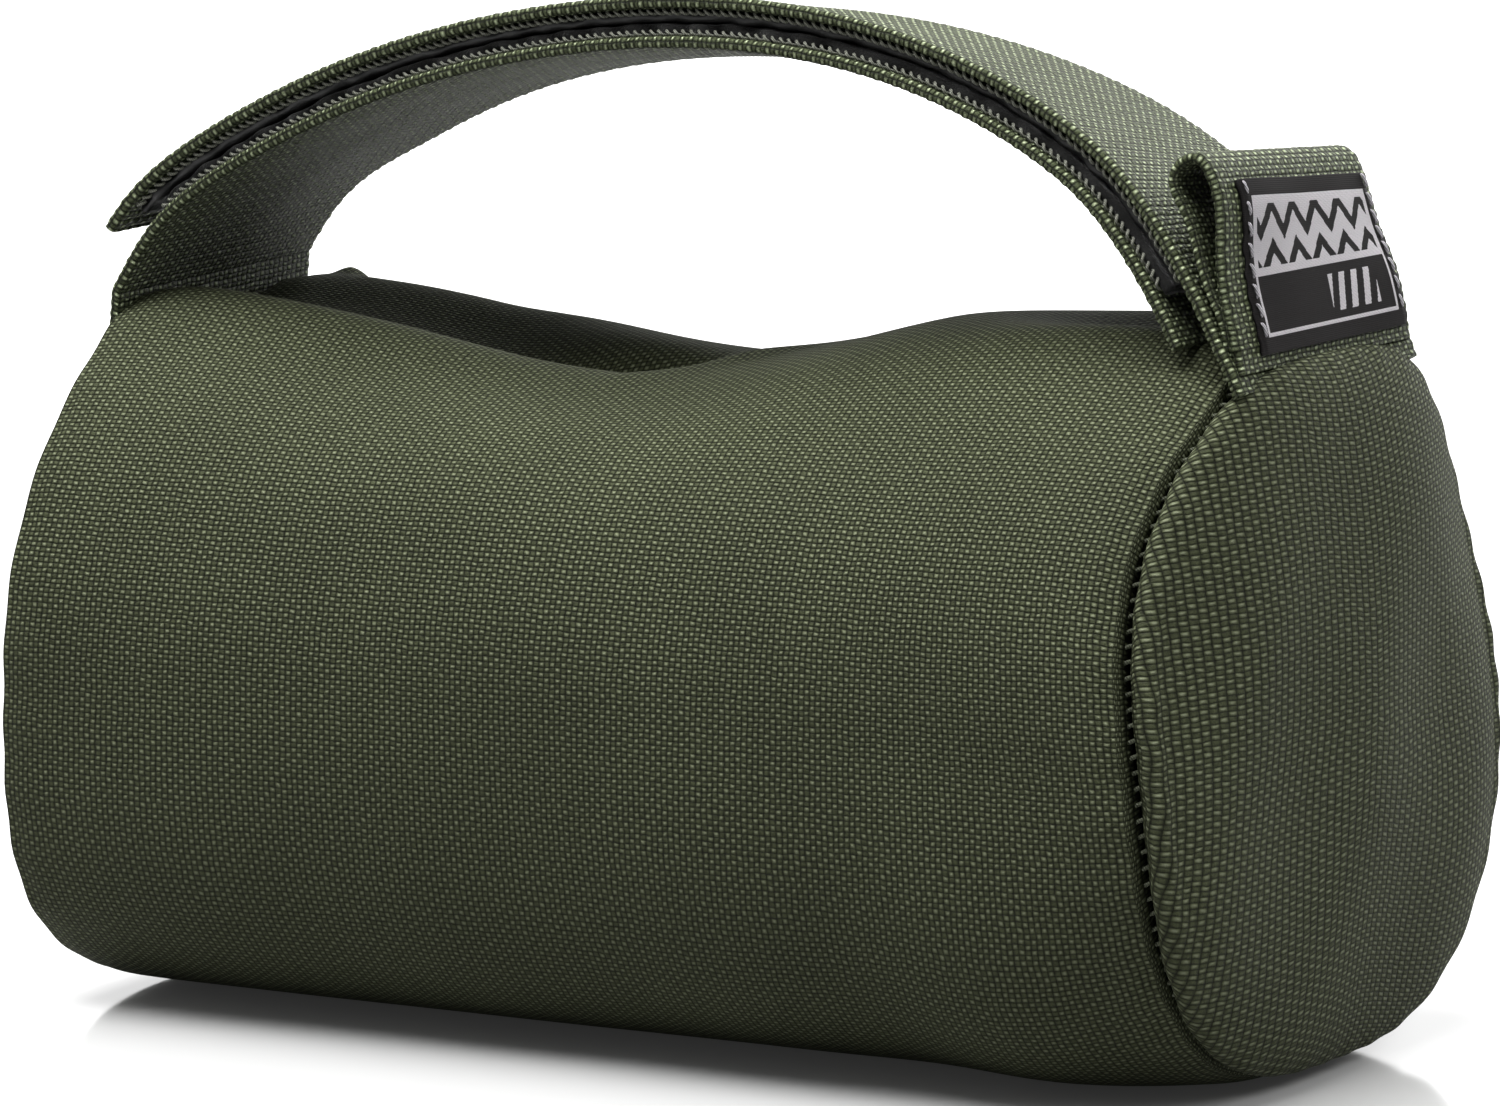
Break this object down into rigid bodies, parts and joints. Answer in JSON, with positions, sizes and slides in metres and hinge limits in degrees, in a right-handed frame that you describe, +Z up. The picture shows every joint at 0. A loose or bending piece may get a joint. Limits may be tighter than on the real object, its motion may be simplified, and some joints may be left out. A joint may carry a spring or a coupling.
{
  "type": "sandbag",
  "caption": "Small bolster sandbag of olive nylon with a hook-and-loop webbing handle and a webbing tab, used to weigh down a stand or steady a rest",
  "frame": {"origin": "on the floor under the middle of the bag", "axes": "+X along the bag towards the tab and label, front of the bag faces -Y and the zipper faces +Y, +Z up"},
  "size_m": [0.182, 0.1, 0.1339],
  "materials": {
    "bag_fabric": "coarse plain-weave nylon, olive green",
    "webbing": "ribbed nylon webbing, olive green, slight gloss",
    "sewing_thread": "twisted nylon thread",
    "binding_tape": "plain woven tape",
    "liner_fabric": "light coated nylon",
    "loop_pile": "black brushed loop pile",
    "hook_tape": "black moulded hooks",
    "sand": "dry sand",
    "zipper_tape": "woven zipper tape",
    "zipper_coil": "nylon coil",
    "slider_metal": "black enamelled zinc",
    "label_cloth": "dense black damask weave",
    "label_thread": "fine black thread"
  },
  "bodies": {
    "bag": {"tube_panel": "bag_fabric", "left_end_disc": "bag_fabric", "right_end_disc": "bag_fabric", "left_seam_thread": "sewing_thread", "right_seam_thread": "sewing_thread", "left_seam_binding": "binding_tape", "right_seam_binding": "binding_tape", "liner_bag": "liner_fabric", "liner_loop_strip": "loop_pile", "liner_hook_strip": "hook_tape", "sand_fill": "sand", "zipper_tape_upper": "zipper_tape", "zipper_tape_lower": "zipper_tape", "zipper_coil_upper": "zipper_coil", "zipper_coil_lower": "zipper_coil", "zipper_top_stop": "slider_metal", "zipper_bottom_stop": "slider_metal", "zipper_stitching": "sewing_thread"},
    "slider": {"zipper_slider": "slider_metal"},
    "pull": {"slider_pull": "slider_metal"},
    "inner_strap": {"inner_strap": "webbing", "loop_tape": "loop_pile", "loop_tape_stitching": "sewing_thread"},
    "outer_strap": {"outer_strap": "webbing", "hook_tape": "hook_tape", "hook_tape_stitching": "sewing_thread"},
    "tab": {"tab_loop": "webbing", "woven_label": "label_cloth", "label_stitching": "label_thread"}
  },
  "joints": [
    {"name": "outer_strap_peel", "type": "hinge", "parent": "bag", "child": "outer_strap", "pos_m": [0.082, 0, 0.0958], "axis": [0, 1, 0], "range_deg": [0, 92]},
    {"name": "inner_strap_lift", "type": "hinge", "parent": "bag", "child": "inner_strap", "pos_m": [-0.082, 0, 0.0958], "axis": [0, 1, 0], "range_deg": [-9.2, 0]},
    {"name": "tab_fold", "type": "hinge", "parent": "outer_strap", "child": "tab", "pos_m": [0.082, 0, 0.0958], "axis": [0, 1, 0], "range_deg": [0, 16]},
    {"name": "slider_travel", "type": "slide", "parent": "bag", "child": "slider", "axis": [-1, 0, 0], "range_m": [0, 0.098]},
    {"name": "pull_flip", "type": "hinge", "parent": "slider", "child": "pull", "pos_m": [0.048, 0.04756, 0.07018], "axis": [0, 0.4226, -0.9063], "range_deg": [0, 168]}
  ],
  "couplings": [
    {"joint": "inner_strap_lift", "follows": "outer_strap_peel", "ratio": -0.1}
  ]
}
